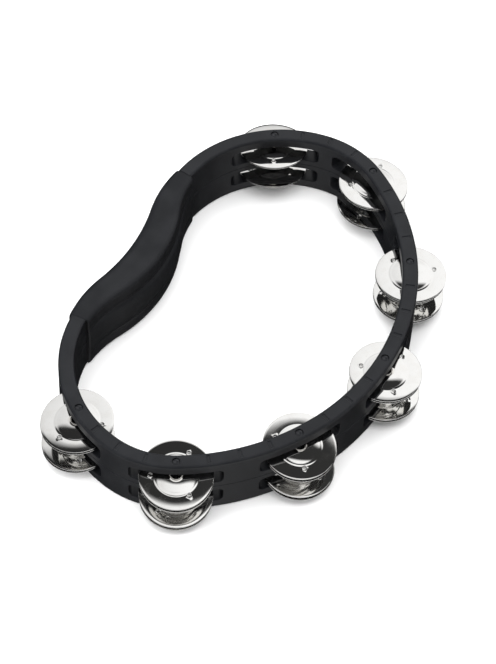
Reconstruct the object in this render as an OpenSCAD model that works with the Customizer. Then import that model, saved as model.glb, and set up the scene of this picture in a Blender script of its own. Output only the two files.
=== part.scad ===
// Hand-held kidney-shaped tambourine with two rows of jingles.
// Millimetres. The frame is a closed loop that stands on its lower rim:
// +X points from the hand grip to the front jingles, +Y is the long way, +Z is up.
// Every place along the loop is a station: the distance along the wall's middle line,
// from the front jingles, positive on the +Y side and negative on the -Y side.

/* [Frame outline] */
// Radius of the front arc, opposite the grip
front_r = 166; // [150:1:180]
// Half of the front arc's angle
front_deg = 59.3; // [57:0.1:61]
// Radius of the two shoulder arcs
shoulder_r = 65.6; // [60:0.1:70]
// Angle of each shoulder arc
shoulder_deg = 39.9; // [38:0.1:42]
// Radius of the two end lobes
lobe_r = 86.6; // [82:0.1:90]
// Angle of each end lobe
lobe_deg = 99.3; // [97:0.1:101]
// Distance from the front pin back to the middle of the whole object
front_to_middle = 90.2; // [85:0.1:95]

/* [Frame section] */
// Height of the frame
frame_h = 51; // [48:0.5:56]
// Thickness of the frame's wall
wall = 11; // [10:0.1:12.5]
// Radius of the rims' rounded edges
rim_r = 1.9; // [0.5:0.1:2.5]
// Chamfer that shows the parting line between the halves
parting_chamfer = 0.3; // [0.1:0.1:0.6]
// Skin thickness around the hollows between the slots
skin = 2.4; // [2:0.1:3.2]

/* [Slots and pins] */
// Stations of the jingle pins on the +Y side
pin_stations = [86.6, 172.4, 254.2];
// Height of each rim above or below its slot
rim_h = 8; // [7:0.1:9]
// Height of a slot
slot_h = 12.8; // [11.5:0.1:13]
// Length of a slot along the wall
slot_len = 63; // [60:0.5:66]
// Corner radius of a slot
slot_r = 3.4; // [2:0.1:5]
// Diameter of a jingle pin
pin_d = 3; // [2.4:0.1:3.4]
// Diameter of a pin's head
head_d = 5.4; // [4.6:0.1:6]
// Height of a pin's head
head_h = 1.2; // [0.8:0.1:1.6]
// Depth of a head below the rim
head_recess = 0.4; // [0.2:0.1:0.8]
// Length of the shallow marks across the upper rim
mark_len = 6; // [4:0.5:7]
// Depth of those marks
mark_depth = 0.35; // [0.2:0.05:0.5]

/* [Jingles] */
// Diameter of a jingle disc
jingle_d = 50; // [46:0.5:51]
// Thickness of a jingle's sheet
sheet = 0.5; // [0.4:0.05:0.8]
// Diameter of a jingle's centre hole
hole_d = 7.4; // [6.6:0.1:7.6]
// Radius of the dished middle
dish_r = 15; // [13:0.1:16.5]
// How far the middle stands out of the rim's plane
dish_h = 2; // [1.5:0.1:2.2]
// Diameter of the three small dimples
dimple_d = 3; // [2.4:0.1:3.4]
// Gap between the two rims of a pair
pair_gap = 1.3; // [1.2:0.05:1.5]
// How far each jingle has slid outwards on its pin
slid_out = 1.6; // [0:0.1:1.6]
// Outward tip of the upper pairs, in degrees, from the +Y end round to the -Y end
upper_tips = [10, 4, 0, 2, 9, 13, 5];
// Outward tip of the lower pairs, in degrees, from the +Y end round to the -Y end
lower_tips = [11, 5, 1, 3, 10, 13, 7];
// Turn of the upper pairs about their own axes, in degrees
upper_turns = [55, 40, 15, 75, 100, 30, 20];

/* [Hand grip] */
// Angle of each lobe that the grip covers
cover_deg = 24; // [20:0.5:28]
// Half width of the grip's outer side at its middle
grip_out = 12.3; // [11:0.1:13.5]
// Half width of the grip's inner side at its middle
grip_in = 12.6; // [11:0.1:13.5]
// Half width of the grip at its ends
grip_end = 7.8; // [7:0.1:9]
// How far the finger pad stands out of the inner side
pad_bulge = 3; // [1:0.1:4]
// How far the grip's crown stands above the frame
crown = 0.8; // [0:0.1:1.5]
// Wall of the grip above and below the frame's core
grip_wall = 3.6; // [3:0.1:5]
// Width of the frame's core inside the grip
core_w = 9.6; // [9:0.1:10]

/* [Hidden] */
$fn = 64;
POSITIONS = [1 : 7];
ROWS = ["upper", "lower"];
PLACES = ["top", "bottom"];

frame_colour = "#26282c";
grip_colour = "#2e3035";
pin_colour = "#1c1d20";
jingle_colour = "#d9dbde";

eps = 0.01;
half_h = frame_h / 2;
handle_deg = front_deg + shoulder_deg + lobe_deg - 180;
pin_gap = 0.05;
grip_gap = 0.1;
slot_z = [frame_h - rim_h - slot_h, rim_h];
seam_deg = 0.03;
tie_len = 4;
tie_inset = 0.2;
core_root_deg = 3;
rib_deg = 1.2;
lip_len = 1.5;
corner_r = 3;
grip_steps = 12;
pad_z = 12.5;
pad_half = 11.5;
mark_w = 2;
mark_steps = [0.25, 0.5, 0.75];

// Unit vectors to the left and to the right of a heading.
function left_of(h) = [-sin(h), cos(h)];
function right_of(h) = [sin(h), -cos(h)];
function arc_len(r, deg) = r * deg * PI / 180;

// A left-turning arc that starts at point p with heading h and station s.
function left_arc(r, deg, p, h, s) = [r, deg, p + r * left_of(h), h, s, 1];
function arc_point(a, t) = a[2] - a[5] * a[0] * left_of(a[3] + a[5] * t);
function arc_end(a) = arc_point(a, a[1]);

front_arc = left_arc(front_r, front_deg, [0, 0], 90, 0);
front_len = arc_len(front_r, front_deg);
shoulder_arc = left_arc(shoulder_r, shoulder_deg, arc_end(front_arc), 90 + front_deg, front_len);
shoulder_len = front_len + arc_len(shoulder_r, shoulder_deg);
lobe_h = 90 + front_deg + shoulder_deg;
lobe_arc = left_arc(lobe_r, lobe_deg, arc_end(shoulder_arc), lobe_h, shoulder_len);
lobe_len = shoulder_len + arc_len(lobe_r, lobe_deg);

// The handle turns the other way and closes the loop on the X axis.
handle_h = lobe_h + lobe_deg;
handle_p = arc_end(lobe_arc);
handle_r = handle_p[1] / cos(handle_h);
handle_arc = [handle_r, handle_deg, handle_p + handle_r * right_of(handle_h), handle_h, lobe_len, -1];
loop_len = lobe_len + arc_len(handle_r, handle_deg);
grip_start = lobe_len - arc_len(lobe_r, cover_deg);
ARCS = [front_arc, shoulder_arc, lobe_arc, handle_arc];

// Place and outward direction, [x, y, degrees], of a station.
function arc_at(s) = s < front_len ? 0 : s < shoulder_len ? 1 : s < lobe_len ? 2 : 3;
function half_station(s) =
    let (a = ARCS[arc_at(s)], t = (s - a[4]) / a[0] * 180 / PI, p = arc_point(a, t))
    [p[0], p[1], a[3] + a[5] * t - 90];
function station(s) =
    let (q = half_station(abs(s)))
    s < 0 ? [q[0], -q[1], -q[2]] : q;

all_pins = concat(
    [for (i = [2 : -1 : 0]) pin_stations[i]], [0], [for (i = [0 : 2]) -pin_stations[i]]
);

// Moves its children to a station, with their X axis pointing out of the loop.
module at_station(s) {
    q = station(s);
    translate([q[0] + front_to_middle, q[1], 0]) rotate(q[2]) children();
}

// Sweeps a section, drawn in [outward, up], along one arc of the loop.
module sweep_arc(a, from_deg, to_deg) {
    start = a[5] > 0 ? a[3] - 90 + from_deg : a[3] + 90 - to_deg;
    translate([a[2][0] + front_to_middle, a[2][1], 0])
        rotate(start)
            rotate_extrude(angle = to_deg - from_deg, $fn = 180)
                translate([a[0], 0]) scale([a[5], 1]) children();
}

module both_sides() {
    children();
    mirror([0, 1, 0]) children();
}

// The upper half's section, with rounded rim edges and a chamfer at the parting line.
module half_section(w) {
    c = parting_chamfer;
    x = w / 2 - rim_r;
    z = frame_h - rim_r;
    polygon(concat(
        [[-w / 2 + c, half_h], [w / 2 - c, half_h], [w / 2, half_h + c]],
        [for (a = [0 : 15 : 90]) [x + rim_r * cos(a), z + rim_r * sin(a)]],
        [for (a = [90 : 15 : 180]) [-x + rim_r * cos(a), z + rim_r * sin(a)]],
        [[-w / 2, half_h + c]]
    ));
}

module core_section() {
    translate([-core_w / 2, half_h]) square([core_w, half_h - grip_wall]);
}

// The narrow core inside the grip, which runs a little way into the full section.
module core_sweep() {
    both_sides() {
        sweep_arc(lobe_arc, lobe_deg - cover_deg - core_root_deg, lobe_deg - seam_deg)
            core_section();
        tie(lobe_len, core_w, half_h - grip_wall);
    }
    sweep_arc(handle_arc, seam_deg, 2 * handle_deg - seam_deg) core_section();
}

// A block just inside the skin, which ties the two arcs that meet at a station.
module tie(s, w, h) {
    at_station(s)
        translate([-w / 2 + tie_inset, -tie_len / 2, half_h + tie_inset])
            cube([w - 2 * tie_inset, tie_len, h - 2 * tie_inset]);
}

// Hollows in the core's parting face, with a rib left where two arcs meet.
module core_hollows() {
    both_sides()
        sweep_arc(lobe_arc, lobe_deg - cover_deg + rib_deg, lobe_deg - rib_deg) hollow_section();
    sweep_arc(handle_arc, rib_deg, 2 * handle_deg - rib_deg) hollow_section();
}

module hollow_section() {
    translate([-core_w / 2 + skin, half_h - eps])
        square([core_w - 2 * skin, half_h - grip_wall - skin]);
}

// A hollow in the parting face between two slots.
module hollow(s, len) {
    at_station(s)
        translate([-wall / 2 + skin, -len / 2, half_h - eps])
            cube([wall - 2 * skin, len, half_h - rim_r - skin]);
}

// A slot through the wall, with rounded corners, running along Y.
module slot() {
    depth = wall * 2;
    x = -wall;
    translate([x, -slot_len / 2 + slot_r, slot_z[0]])
        cube([depth, slot_len - 2 * slot_r, slot_h]);
    translate([x, -slot_len / 2, slot_z[0] + slot_r])
        cube([depth, slot_len, slot_h - 2 * slot_r]);
    for (y = [-1, 1], z = [slot_r, slot_h - slot_r])
        translate([x, y * (slot_len / 2 - slot_r), slot_z[0] + z])
            rotate([0, 90, 0]) cylinder(h = depth, r = slot_r, $fn = 48);
}

module pin_bore() {
    translate([0, 0, -eps]) cylinder(h = frame_h + 2 * eps, d = pin_d + 2 * pin_gap);
    translate([0, 0, frame_h - head_recess - head_h])
        cylinder(h = head_h + head_recess + eps, d = head_d + 4 * pin_gap);
}

// One moulded half, drawn as the upper one.
module frame_half() {
    web = pin_stations[0] - slot_len - 2 * skin;
    middles = [pin_stations[0] / 2, (pin_stations[0] + pin_stations[1]) / 2,
        (pin_stations[1] + pin_stations[2]) / 2];
    difference() {
        union() {
            sweep_arc(front_arc, seam_deg - front_deg, front_deg - seam_deg) half_section(wall);
            both_sides() {
                sweep_arc(shoulder_arc, seam_deg, shoulder_deg - seam_deg) half_section(wall);
                sweep_arc(lobe_arc, seam_deg, lobe_deg - cover_deg) half_section(wall);
                for (s = [front_len, shoulder_len]) tie(s, wall - rim_r, half_h - rim_r / 2);
            }
            core_sweep();
        }
        for (s = all_pins) at_station(s) {
            slot();
            pin_bore();
        }
        for (s = middles, side = [-1, 1]) hollow(side * s, web);
        core_hollows();
    }
}

// Shallow marks across the rim, at the quarter points between neighbouring pins.
module rim_marks() {
    for (i = [0 : len(all_pins) - 2], t = mark_steps)
        at_station(all_pins[i] * (1 - t) + all_pins[i + 1] * t)
            translate([-mark_len / 2, -mark_w / 2, frame_h - mark_depth])
                cube([mark_len, mark_w, mark_depth + eps]);
}

module frame_upper_half() {
    color(frame_colour) difference() {
        frame_half();
        rim_marks();
    }
}

module frame_lower_half() {
    color(frame_colour) translate([0, 0, frame_h]) mirror([0, 0, 1]) frame_half();
}

// A plain pin with a head at the upper rim and a rivetted head at the lower one.
module jingle_pin(p) {
    color(pin_colour) at_station(all_pins[p - 1])
        for (flip = [0, 1])
            translate([0, 0, flip * frame_h]) mirror([0, 0, flip])
                translate([0, 0, head_recess]) {
                    cylinder(h = head_h, d = head_d);
                    cylinder(h = half_h - head_recess, d = pin_d);
                }
}

// A jingle's section: turned rim, flat flange, step, dished middle and a raised lip.
module jingle_section() {
    r = jingle_d / 2;
    lip_r = hole_d / 2;
    step_z = 0.45 * dish_h;
    flange_z = 0.3;
    polygon([
        [r - 0.5, 0], [r, 0.25], [r, 0.6], [r - 0.5, sheet + 0.15],
        [dish_r + 0.9, sheet + flange_z], [dish_r, sheet + step_z],
        [dish_r * 0.6, sheet + dish_h * 0.86], [lip_r + 1.1, sheet + dish_h],
        [lip_r + 0.6, sheet + dish_h + 0.5], [lip_r, sheet + dish_h + 0.5],
        [lip_r, dish_h + 0.2], [lip_r + 1.1, dish_h],
        [dish_r * 0.6, dish_h * 0.86], [dish_r, step_z],
        [dish_r + 0.9, flange_z], [r - 0.9, 0.1]
    ]);
}

module jingle_disc() {
    ball_d = dimple_d * 1.6;
    sink = (ball_d - sqrt(ball_d * ball_d - dimple_d * dimple_d)) / 2;
    difference() {
        rotate_extrude($fn = 96) jingle_section();
        for (a = [0 : 120 : 240])
            rotate(a) translate([dish_r + 2.2, 0, sheet + 0.3 + ball_d / 2 - 0.6 * sink])
                sphere(d = ball_d, $fn = 32);
    }
}

// Height of a pair's middle plane above its slot's floor.
function pair_z(tip) = dish_h + sheet + pair_gap / 2 + 1.1 + wall / 2 * tan(tip);

// One disc of a pair: the top one has its hollow side down, the bottom one has it up.
module jingle(p, row, top) {
    tip = row == 0 ? upper_tips[p - 1] : lower_tips[p - 1];
    turn = upper_turns[p - 1] + 47 * row + (top ? 0 : 70);
    side = top ? 1 : -1;
    hole_z = side * (pair_gap / 2 + dish_h + sheet);
    color(jingle_colour) at_station(all_pins[p - 1])
        translate([slid_out - hole_z * sin(tip), 0, slot_z[row] + pair_z(tip)])
            rotate([0, tip, 0]) rotate(turn)
                mirror([0, 0, top ? 0 : 1]) translate([0, 0, pair_gap / 2]) jingle_disc();
}

// How far the grip has swollen, from 0 to 1, at a distance d from its nearer end.
function swell(d) = sin(90 * min(1, d / (loop_len - grip_start)));

// The grip's outer section there, as points [outward, up] from the outer lower edge.
function grip_points(d) =
    let (
        k = swell(d),
        lip = max(0, 1 - d / lip_len),
        out_w = grip_end + (grip_out - grip_end) * k - lip,
        in_w = grip_end + (grip_in - grip_end) * k - lip,
        out_r = out_w * 0.62,
        top = frame_h + crown * k - lip * 0.6,
        low = lip * 0.6,
        groove = 0.3 + k,
        bulge = 0.4 + (pad_bulge - 0.4) * k
    )
    concat(
        [for (a = [-90 : 15 : 0]) [out_w - out_r + out_r * cos(a), low + out_r + out_r * sin(a)]],
        [for (a = [0 : 15 : 90]) [out_w - out_r + out_r * cos(a), top - out_r + out_r * sin(a)]],
        [for (a = [90 : 22.5 : 180])
            [-in_w + corner_r + corner_r * cos(a), top - corner_r + corner_r * sin(a)]],
        [[-in_w, frame_h - pad_z + 1.4], [-in_w + groove, frame_h - pad_z]],
        [for (a = [75 : -25 : -75]) [-in_w - bulge * cos(a), half_h + pad_half * sin(a)]],
        [[-in_w + groove, pad_z], [-in_w, pad_z - 1.4]],
        [for (a = [180 : 22.5 : 270])
            [-in_w + corner_r + corner_r * cos(a), low + corner_r + corner_r * sin(a)]]
    );

// The hole for the frame's core, from its outer lower corner round to the inner lower one.
core_hole = let (x = core_w / 2 + grip_gap, z = grip_wall - grip_gap)
    [[x, z], [x, frame_h - z], [-x, frame_h - z], [-x, z]];

// Points of the grip at a distance e from its +Y end: the outer section, then the hole.
function grip_ring(e) =
    let (
        reach = loop_len - grip_start,
        q = station(e <= reach ? grip_start + e : e - grip_start - 2 * reach)
    )
    [for (g = concat(grip_points(min(e, 2 * reach - e)), core_hole))
        [q[0] + front_to_middle + g[0] * cos(q[2]), q[1] + g[0] * sin(q[2]), g[1]]];

// A sleeve swept along the handle, with a hole of four corners right through it.
module hand_grip() {
    reach = loop_len - grip_start;
    near = concat([0, lip_len / 2], [for (i = [0 : grip_steps])
        lip_len + (reach - lip_len) * i / grip_steps]);
    places = concat(near, [for (i = [len(near) - 2 : -1 : 0]) 2 * reach - near[i]]);
    rings = [for (e = places) grip_ring(e)];
    last = len(rings) - 1;
    m = len(grip_points(0));
    n = m + 4;
    // The corner of the hole that each outer point is joined to at the ends.
    corner = [for (j = [0 : m - 1]) j < 7 ? 0 : j < 14 ? 1 : j < 24 ? 2 : 3];
    ends = [for (j = [0 : m - 1])
        let (k = (j + 1) % m, c = m + corner[j], d = m + corner[k])
        each c == d ? [[k, j, c]] : [[k, j, d], [d, j, c]]];
    sides = [for (i = [0 : last - 1], j = [0 : m - 1])
        let (a = i * n + j, b = i * n + (j + 1) % m)
        each [[a, b, a + n], [b, b + n, a + n]]];
    inside = [for (i = [0 : last - 1], j = [0 : 3])
        let (a = i * n + m + j, b = i * n + m + (j + 1) % 4)
        each [[a, a + n, b], [b, a + n, b + n]]];
    color(grip_colour) polyhedron(
        points = [for (r = rings, v = r) v],
        faces = concat(
            ends, sides, inside,
            [for (f = ends) [f[2] + last * n, f[1] + last * n, f[0] + last * n]]
        )
    );
}

frame_upper_half();
frame_lower_half();
hand_grip();
for (p = POSITIONS)
    jingle_pin(p);
for (p = POSITIONS, r = [0, 1], q = [0, 1])
    jingle(p, r, q == 0);
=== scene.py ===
"""The looks of a crescent tambourine with two rows of jingles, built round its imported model."""

import logging
import math
from collections.abc import Callable, Iterable, Mapping, Sequence
from dataclasses import dataclass, field
from enum import Enum
from typing import Any, ClassVar

import bmesh
import bpy
import numpy as np
from mathutils import Matrix, Vector
from mathutils.geometry import delaunay_2d_cdt


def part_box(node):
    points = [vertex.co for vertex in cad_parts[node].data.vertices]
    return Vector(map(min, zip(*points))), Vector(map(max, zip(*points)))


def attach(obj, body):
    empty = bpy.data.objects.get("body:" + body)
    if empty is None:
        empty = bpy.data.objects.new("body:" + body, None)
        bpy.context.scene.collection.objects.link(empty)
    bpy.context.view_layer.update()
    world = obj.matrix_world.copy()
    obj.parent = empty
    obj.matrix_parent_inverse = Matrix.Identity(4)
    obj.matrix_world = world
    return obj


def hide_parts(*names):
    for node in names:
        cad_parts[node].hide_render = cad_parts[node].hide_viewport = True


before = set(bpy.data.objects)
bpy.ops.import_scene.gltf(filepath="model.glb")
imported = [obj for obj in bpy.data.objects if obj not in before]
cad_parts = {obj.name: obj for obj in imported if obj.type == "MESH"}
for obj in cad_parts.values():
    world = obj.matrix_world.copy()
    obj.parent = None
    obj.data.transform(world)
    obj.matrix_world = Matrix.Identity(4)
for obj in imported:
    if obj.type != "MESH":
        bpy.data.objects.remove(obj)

LOG = logging.getLogger("tambourine")
MM = 0.001
FRAME_BODY = "frame"
POSITIONS = range(1, 8)


class Row(Enum):
    """The two rows of slots, by the name that their jingles carry."""

    UPPER = "upper"
    LOWER = "lower"


class Place(Enum):
    """A jingle's place in its pair. The top one has its hollow side down."""

    TOP = "top"
    BOTTOM = "bottom"


class Slot(Enum):
    """The record's material slots."""

    FRAME = "frame_plastic"
    GRIP = "grip_rubber"
    PIN = "pin_steel"
    JINGLE = "jingle_steel"


# ---------------------------------------------------------------- shader maths


@dataclass(frozen=True)
class Wire:
    """A node's output that takes Python's operators, and adds a node for each."""

    sheet: "Sheet"
    socket: bpy.types.NodeSocket

    def _combined(self, operation: str, first: Any, second: Any) -> "Wire":
        """Joins two values, vectors or colours with the node that suits them.

        Args:
            operation: A Math node's operation.
            first: The left side, a wire or a number.
            second: The right side, a wire or a number.

        Returns:
            The result.
        """
        kinds = {w.socket.type for w in (first, second) if isinstance(w, Wire)}
        if "RGBA" in kinds:
            settings = {"data_type": "RGBA", "blend_type": operation}
            return self.sheet.add("ShaderNodeMix", settings, {0: 1.0, 6: first, 7: second}, 2)
        if "VECTOR" in kinds:
            return self.sheet.add(
                "ShaderNodeVectorMath", {"operation": operation}, {0: first, 1: second}
            )
        return self.sheet.add("ShaderNodeMath", {"operation": operation}, {0: first, 1: second})

    def __add__(self, other: Any) -> "Wire":
        """self + other."""
        return self._combined("ADD", self, other)

    def __radd__(self, other: Any) -> "Wire":
        """other + self."""
        return self._combined("ADD", other, self)

    def __sub__(self, other: Any) -> "Wire":
        """self - other."""
        return self._combined("SUBTRACT", self, other)

    def __rsub__(self, other: Any) -> "Wire":
        """other - self."""
        return self._combined("SUBTRACT", other, self)

    def __mul__(self, other: Any) -> "Wire":
        """self * other."""
        return self._combined("MULTIPLY", self, other)

    def __rmul__(self, other: Any) -> "Wire":
        """other * self."""
        return self._combined("MULTIPLY", other, self)

    def __truediv__(self, other: Any) -> "Wire":
        """self / other."""
        return self._combined("DIVIDE", self, other)

    def __rtruediv__(self, other: Any) -> "Wire":
        """other / self."""
        return self._combined("DIVIDE", other, self)


@dataclass(frozen=True)
class Sheet:
    """A node tree that a finish is drawn on."""

    tree: bpy.types.NodeTree

    def node(
        self,
        kind: str,
        settings: Mapping[str, Any] | None = None,
        inputs: Mapping[str | int, Any] | None = None,
    ) -> bpy.types.Node:
        """Makes a node: its type, then its settings, then what its sockets hold.

        Args:
            kind: The node's type name.
            settings: Its properties; "stops" holds a ramp's (place, grey) pairs.
            inputs: Values or wires by the socket's name or number.

        Returns:
            The node.
        """
        node = self.tree.nodes.new(kind)
        for name, value in (settings or {}).items():
            if name == "stops":
                self._set_stops(node.color_ramp, value)
            else:
                setattr(node, name, value)
        for name, value in (inputs or {}).items():
            self.feed(node.inputs[name], value)
        return node

    def add(
        self,
        kind: str,
        settings: Mapping[str, Any] | None = None,
        inputs: Mapping[str | int, Any] | None = None,
        output: str | int = 0,
    ) -> Wire:
        """Makes a node and takes one of its outputs, by name or number."""
        return Wire(self, self.node(kind, settings, inputs).outputs[output])

    @staticmethod
    def _set_stops(ramp: bpy.types.ColorRamp, stops: Sequence[tuple[float, float]]) -> None:
        """Gives a ramp its grey stops.

        Args:
            ramp: The ramp.
            stops: Pairs of a place and a grey level.
        """
        while len(ramp.elements) < len(stops):
            ramp.elements.new(1.0)
        for element, (place, grey) in zip(ramp.elements, stops):
            element.position = place
            element.color = (grey, grey, grey, 1.0)

    def feed(self, socket: bpy.types.NodeSocket, value: Any) -> None:
        """Links a wire to a socket, or sets the socket's own value.

        Args:
            socket: The input socket.
            value: A wire, a number or a tuple.
        """
        if isinstance(value, Wire):
            self.tree.links.new(value.socket, socket)
        elif socket.type == "RGBA" and not isinstance(value, (int, float)):
            socket.default_value = (*value[:3], 1.0)
        elif socket.type == "RGBA":
            socket.default_value = (value, value, value, 1.0)
        elif socket.type == "VECTOR" and isinstance(value, (int, float)):
            socket.default_value = (value,) * 3
        else:
            socket.default_value = value

    def coordinates(self) -> Wire:
        """The surface's place in its own object's frame."""
        return self.add("ShaderNodeTexCoord", output="Object")

    def noise(self, where: Wire, pitch: float, detail: float = 3.0, stretch: Any = 1.0) -> Wire:
        """Soft noise between 0 and 1.

        Args:
            where: The coordinates.
            pitch: The size of a patch, in metres.
            detail: How many finer octaves it holds.
            stretch: A factor on the coordinates, one number or three.

        Returns:
            The noise.
        """
        return self.add(
            "ShaderNodeTexNoise",
            inputs={"Vector": where * stretch, "Scale": 1.0 / pitch, "Detail": detail},
        )

    def along(self, where: Wire, axis: Sequence[float]) -> Wire:
        """How far a vector reaches along an axis."""
        return self.add(
            "ShaderNodeVectorMath", {"operation": "DOT_PRODUCT"}, {0: where, 1: tuple(axis)}, "Value"
        )

    def between(self, mask: Wire, low: float, high: float) -> Wire:
        """Spreads a mask from 0 to 1 over a range that starts at low and ends at high."""
        return mask * (high - low) + low

    def window(self, value: Wire, start: float, end: float) -> Wire:
        """A clamped mask that is 0 before start and 1 after end.

        Args:
            value: What it measures.
            start: Where it starts to rise.
            end: Where it is full.

        Returns:
            The mask.
        """
        return self.add(
            "ShaderNodeMapRange",
            {"interpolation_type": "SMOOTHSTEP"},
            {"Value": value, "From Min": start, "From Max": end},
        )

    def tint(self, mask: Wire, first: Sequence[float], second: Sequence[float]) -> Wire:
        """A colour that goes from first to second as the mask goes from 0 to 1."""
        return self.add(
            "ShaderNodeMix", {"data_type": "RGBA"}, {0: mask, 6: first, 7: second}, 2
        )

    def bump(self, height: Wire, depth: float, strength: float, under: Wire | None = None) -> Wire:
        """A normal from a height.

        Args:
            height: The height, from 0 to 1.
            depth: What a height of 1 stands for, in metres.
            strength: How much of it shows, from 0 to 1.
            under: A coarser normal below it.

        Returns:
            The normal.
        """
        inputs = {"Height": height, "Distance": depth, "Strength": strength}
        if under is not None:
            inputs["Normal"] = under
        return self.add("ShaderNodeBump", inputs=inputs)


# ---------------------------------------------------------------- finishes


@dataclass(frozen=True)
class Finish:
    """What every finish shares: it makes its material once and hands it out."""

    name: str
    made: ClassVar[dict[str, bpy.types.Material]] = {}

    def material(self) -> bpy.types.Material:
        """The finish's material, made when it is first asked for.

        Returns:
            The material.
        """
        if self.name not in self.made:
            material = bpy.data.materials.new(self.name)
            material.use_nodes = True
            material.node_tree.nodes.clear()
            sheet = Sheet(material.node_tree)
            shader = sheet.add("ShaderNodeBsdfPrincipled", inputs=self.inputs(sheet))
            sheet.node("ShaderNodeOutputMaterial", inputs={"Surface": shader})
            self.made[self.name] = material
        return self.made[self.name]

    def inputs(self, sheet: Sheet) -> dict[str, Any]:
        """What the shader's sockets hold.

        Args:
            sheet: The material's node tree.

        Returns:
            Values and wires by the socket's name.
        """
        raise NotImplementedError


@dataclass(frozen=True)
class MouldedPlastic(Finish):
    """Black moulded plastic with a faint cloudiness and a fine satin grain."""

    dark: tuple[float, float, float] = (0.0050, 0.0055, 0.0068)
    light: tuple[float, float, float] = (0.0095, 0.0102, 0.0120)
    roughness: tuple[float, float] = (0.34, 0.46)
    specular: float = 0.34
    cloud: float = 14 * MM
    grain: float = 0.45 * MM
    grain_depth: float = 0.02 * MM
    ripple_depth: float = 0.10 * MM

    def inputs(self, sheet: Sheet) -> dict[str, Any]:
        """What the shader's sockets hold.

        Args:
            sheet: The material's node tree.

        Returns:
            Values and wires by the socket's name.
        """
        where = sheet.coordinates()
        cloud = sheet.window(sheet.noise(where, self.cloud), 0.32, 0.68)
        grain = sheet.noise(where, self.grain, 4.0)
        flow = sheet.bump(sheet.noise(where, self.cloud * 0.6, 1.0), self.ripple_depth, 0.35)
        return {
            "Base Color": sheet.tint(cloud * 0.6 + grain * 0.4, self.dark, self.light),
            "Roughness": sheet.between(cloud * 0.5 + grain * 0.5, *self.roughness),
            "Normal": sheet.bump(grain, self.grain_depth, 0.5, flow),
            "Specular IOR Level": self.specular,
        }


@dataclass(frozen=True)
class GripRubber(Finish):
    """Soft black rubber: duller than the frame, with a skin-like grain and rubbed high spots."""

    dark: tuple[float, float, float] = (0.0058, 0.0062, 0.0074)
    light: tuple[float, float, float] = (0.0110, 0.0116, 0.0132)
    roughness: tuple[float, float] = (0.40, 0.54)
    specular: float = 0.24
    rub: float = 22 * MM
    grain: float = 0.6 * MM
    grain_depth: float = 0.035 * MM

    def inputs(self, sheet: Sheet) -> dict[str, Any]:
        """What the shader's sockets hold.

        Args:
            sheet: The material's node tree.

        Returns:
            Values and wires by the socket's name.
        """
        where = sheet.coordinates()
        rub = sheet.window(sheet.noise(where, self.rub, 2.0), 0.35, 0.7)
        cells = sheet.add(
            "ShaderNodeTexVoronoi",
            {"feature": "SMOOTH_F1"},
            {"Vector": where, "Scale": 1.0 / self.grain},
        )
        grain = cells * 0.6 + sheet.noise(where, self.grain * 0.5, 2.0) * 0.4
        return {
            "Base Color": sheet.tint(rub * 0.5 + grain * 0.5, self.dark, self.light),
            "Roughness": sheet.between(1 - rub * 0.6 - grain * 0.4, *self.roughness),
            "Normal": sheet.bump(grain, self.grain_depth, 0.5),
            "Specular IOR Level": self.specular,
        }


@dataclass(frozen=True)
class NickelPlate(Finish):
    """Bright nickel on a stamped disc: fine turning lines, smudges and a duller, warmer hole."""

    bright: tuple[float, float, float] = (0.86, 0.855, 0.84)
    worn: tuple[float, float, float] = (0.72, 0.69, 0.64)
    roughness: tuple[float, float] = (0.045, 0.13)
    line_pitch: float = 0.35 * MM
    line_depth: float = 0.004 * MM
    smudge: float = 7 * MM
    hole_ring: tuple[float, float] = (4.4 * MM, 6.5 * MM)

    def inputs(self, sheet: Sheet) -> dict[str, Any]:
        """What the shader's sockets hold.

        Args:
            sheet: The material's node tree.

        Returns:
            Values and wires by the socket's name.
        """
        where = sheet.coordinates()
        flat = where * (1.0, 1.0, 0.0)
        radius = sheet.add(
            "ShaderNodeVectorMath", {"operation": "LENGTH"}, {0: flat}, "Value"
        )
        hole = 1 - sheet.window(radius, *self.hole_ring)
        smudge = sheet.window(sheet.noise(where, self.smudge, 4.0), 0.42, 0.7)
        lines = sheet.add(
            "ShaderNodeTexNoise",
            {"noise_dimensions": "1D"},
            {"W": radius, "Scale": 1.0 / self.line_pitch, "Detail": 2.0},
        )
        return {
            "Base Color": sheet.tint(hole * 0.7 + smudge * 0.15, self.bright, self.worn),
            "Roughness": sheet.between(smudge * 0.6 + hole * 0.4, *self.roughness),
            "Metallic": 1.0,
            "Normal": sheet.bump(lines, self.line_depth, 0.35),
        }


@dataclass(frozen=True)
class PinSteel(Finish):
    """Dark oxidised steel of the pins, a little brighter where the head is rubbed."""

    dark: tuple[float, float, float] = (0.018, 0.019, 0.022)
    rubbed: tuple[float, float, float] = (0.045, 0.046, 0.050)
    roughness: tuple[float, float] = (0.34, 0.5)
    patch: float = 1.6 * MM

    def inputs(self, sheet: Sheet) -> dict[str, Any]:
        """What the shader's sockets hold.

        Args:
            sheet: The material's node tree.

        Returns:
            Values and wires by the socket's name.
        """
        where = sheet.coordinates()
        patch = sheet.window(sheet.noise(where, self.patch, 4.0), 0.35, 0.7)
        return {
            "Base Color": sheet.tint(patch, self.dark, self.rubbed),
            "Roughness": sheet.between(1 - patch, *self.roughness),
            "Metallic": 0.8,
            "Normal": sheet.bump(patch, 0.02 * MM, 0.4),
        }


@dataclass(frozen=True)
class StudioPaper(Finish):
    """White paper that the instrument lies on."""

    colour: tuple[float, float, float] = (0.93, 0.93, 0.93)
    roughness: float = 0.8

    def inputs(self, sheet: Sheet) -> dict[str, Any]:
        """What the shader's sockets hold.

        Args:
            sheet: The material's node tree.

        Returns:
            Values and wires by the socket's name.
        """
        return {"Base Color": self.colour, "Roughness": self.roughness, "Specular IOR Level": 0.1}


# ---------------------------------------------------------------- the loop's line


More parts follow.
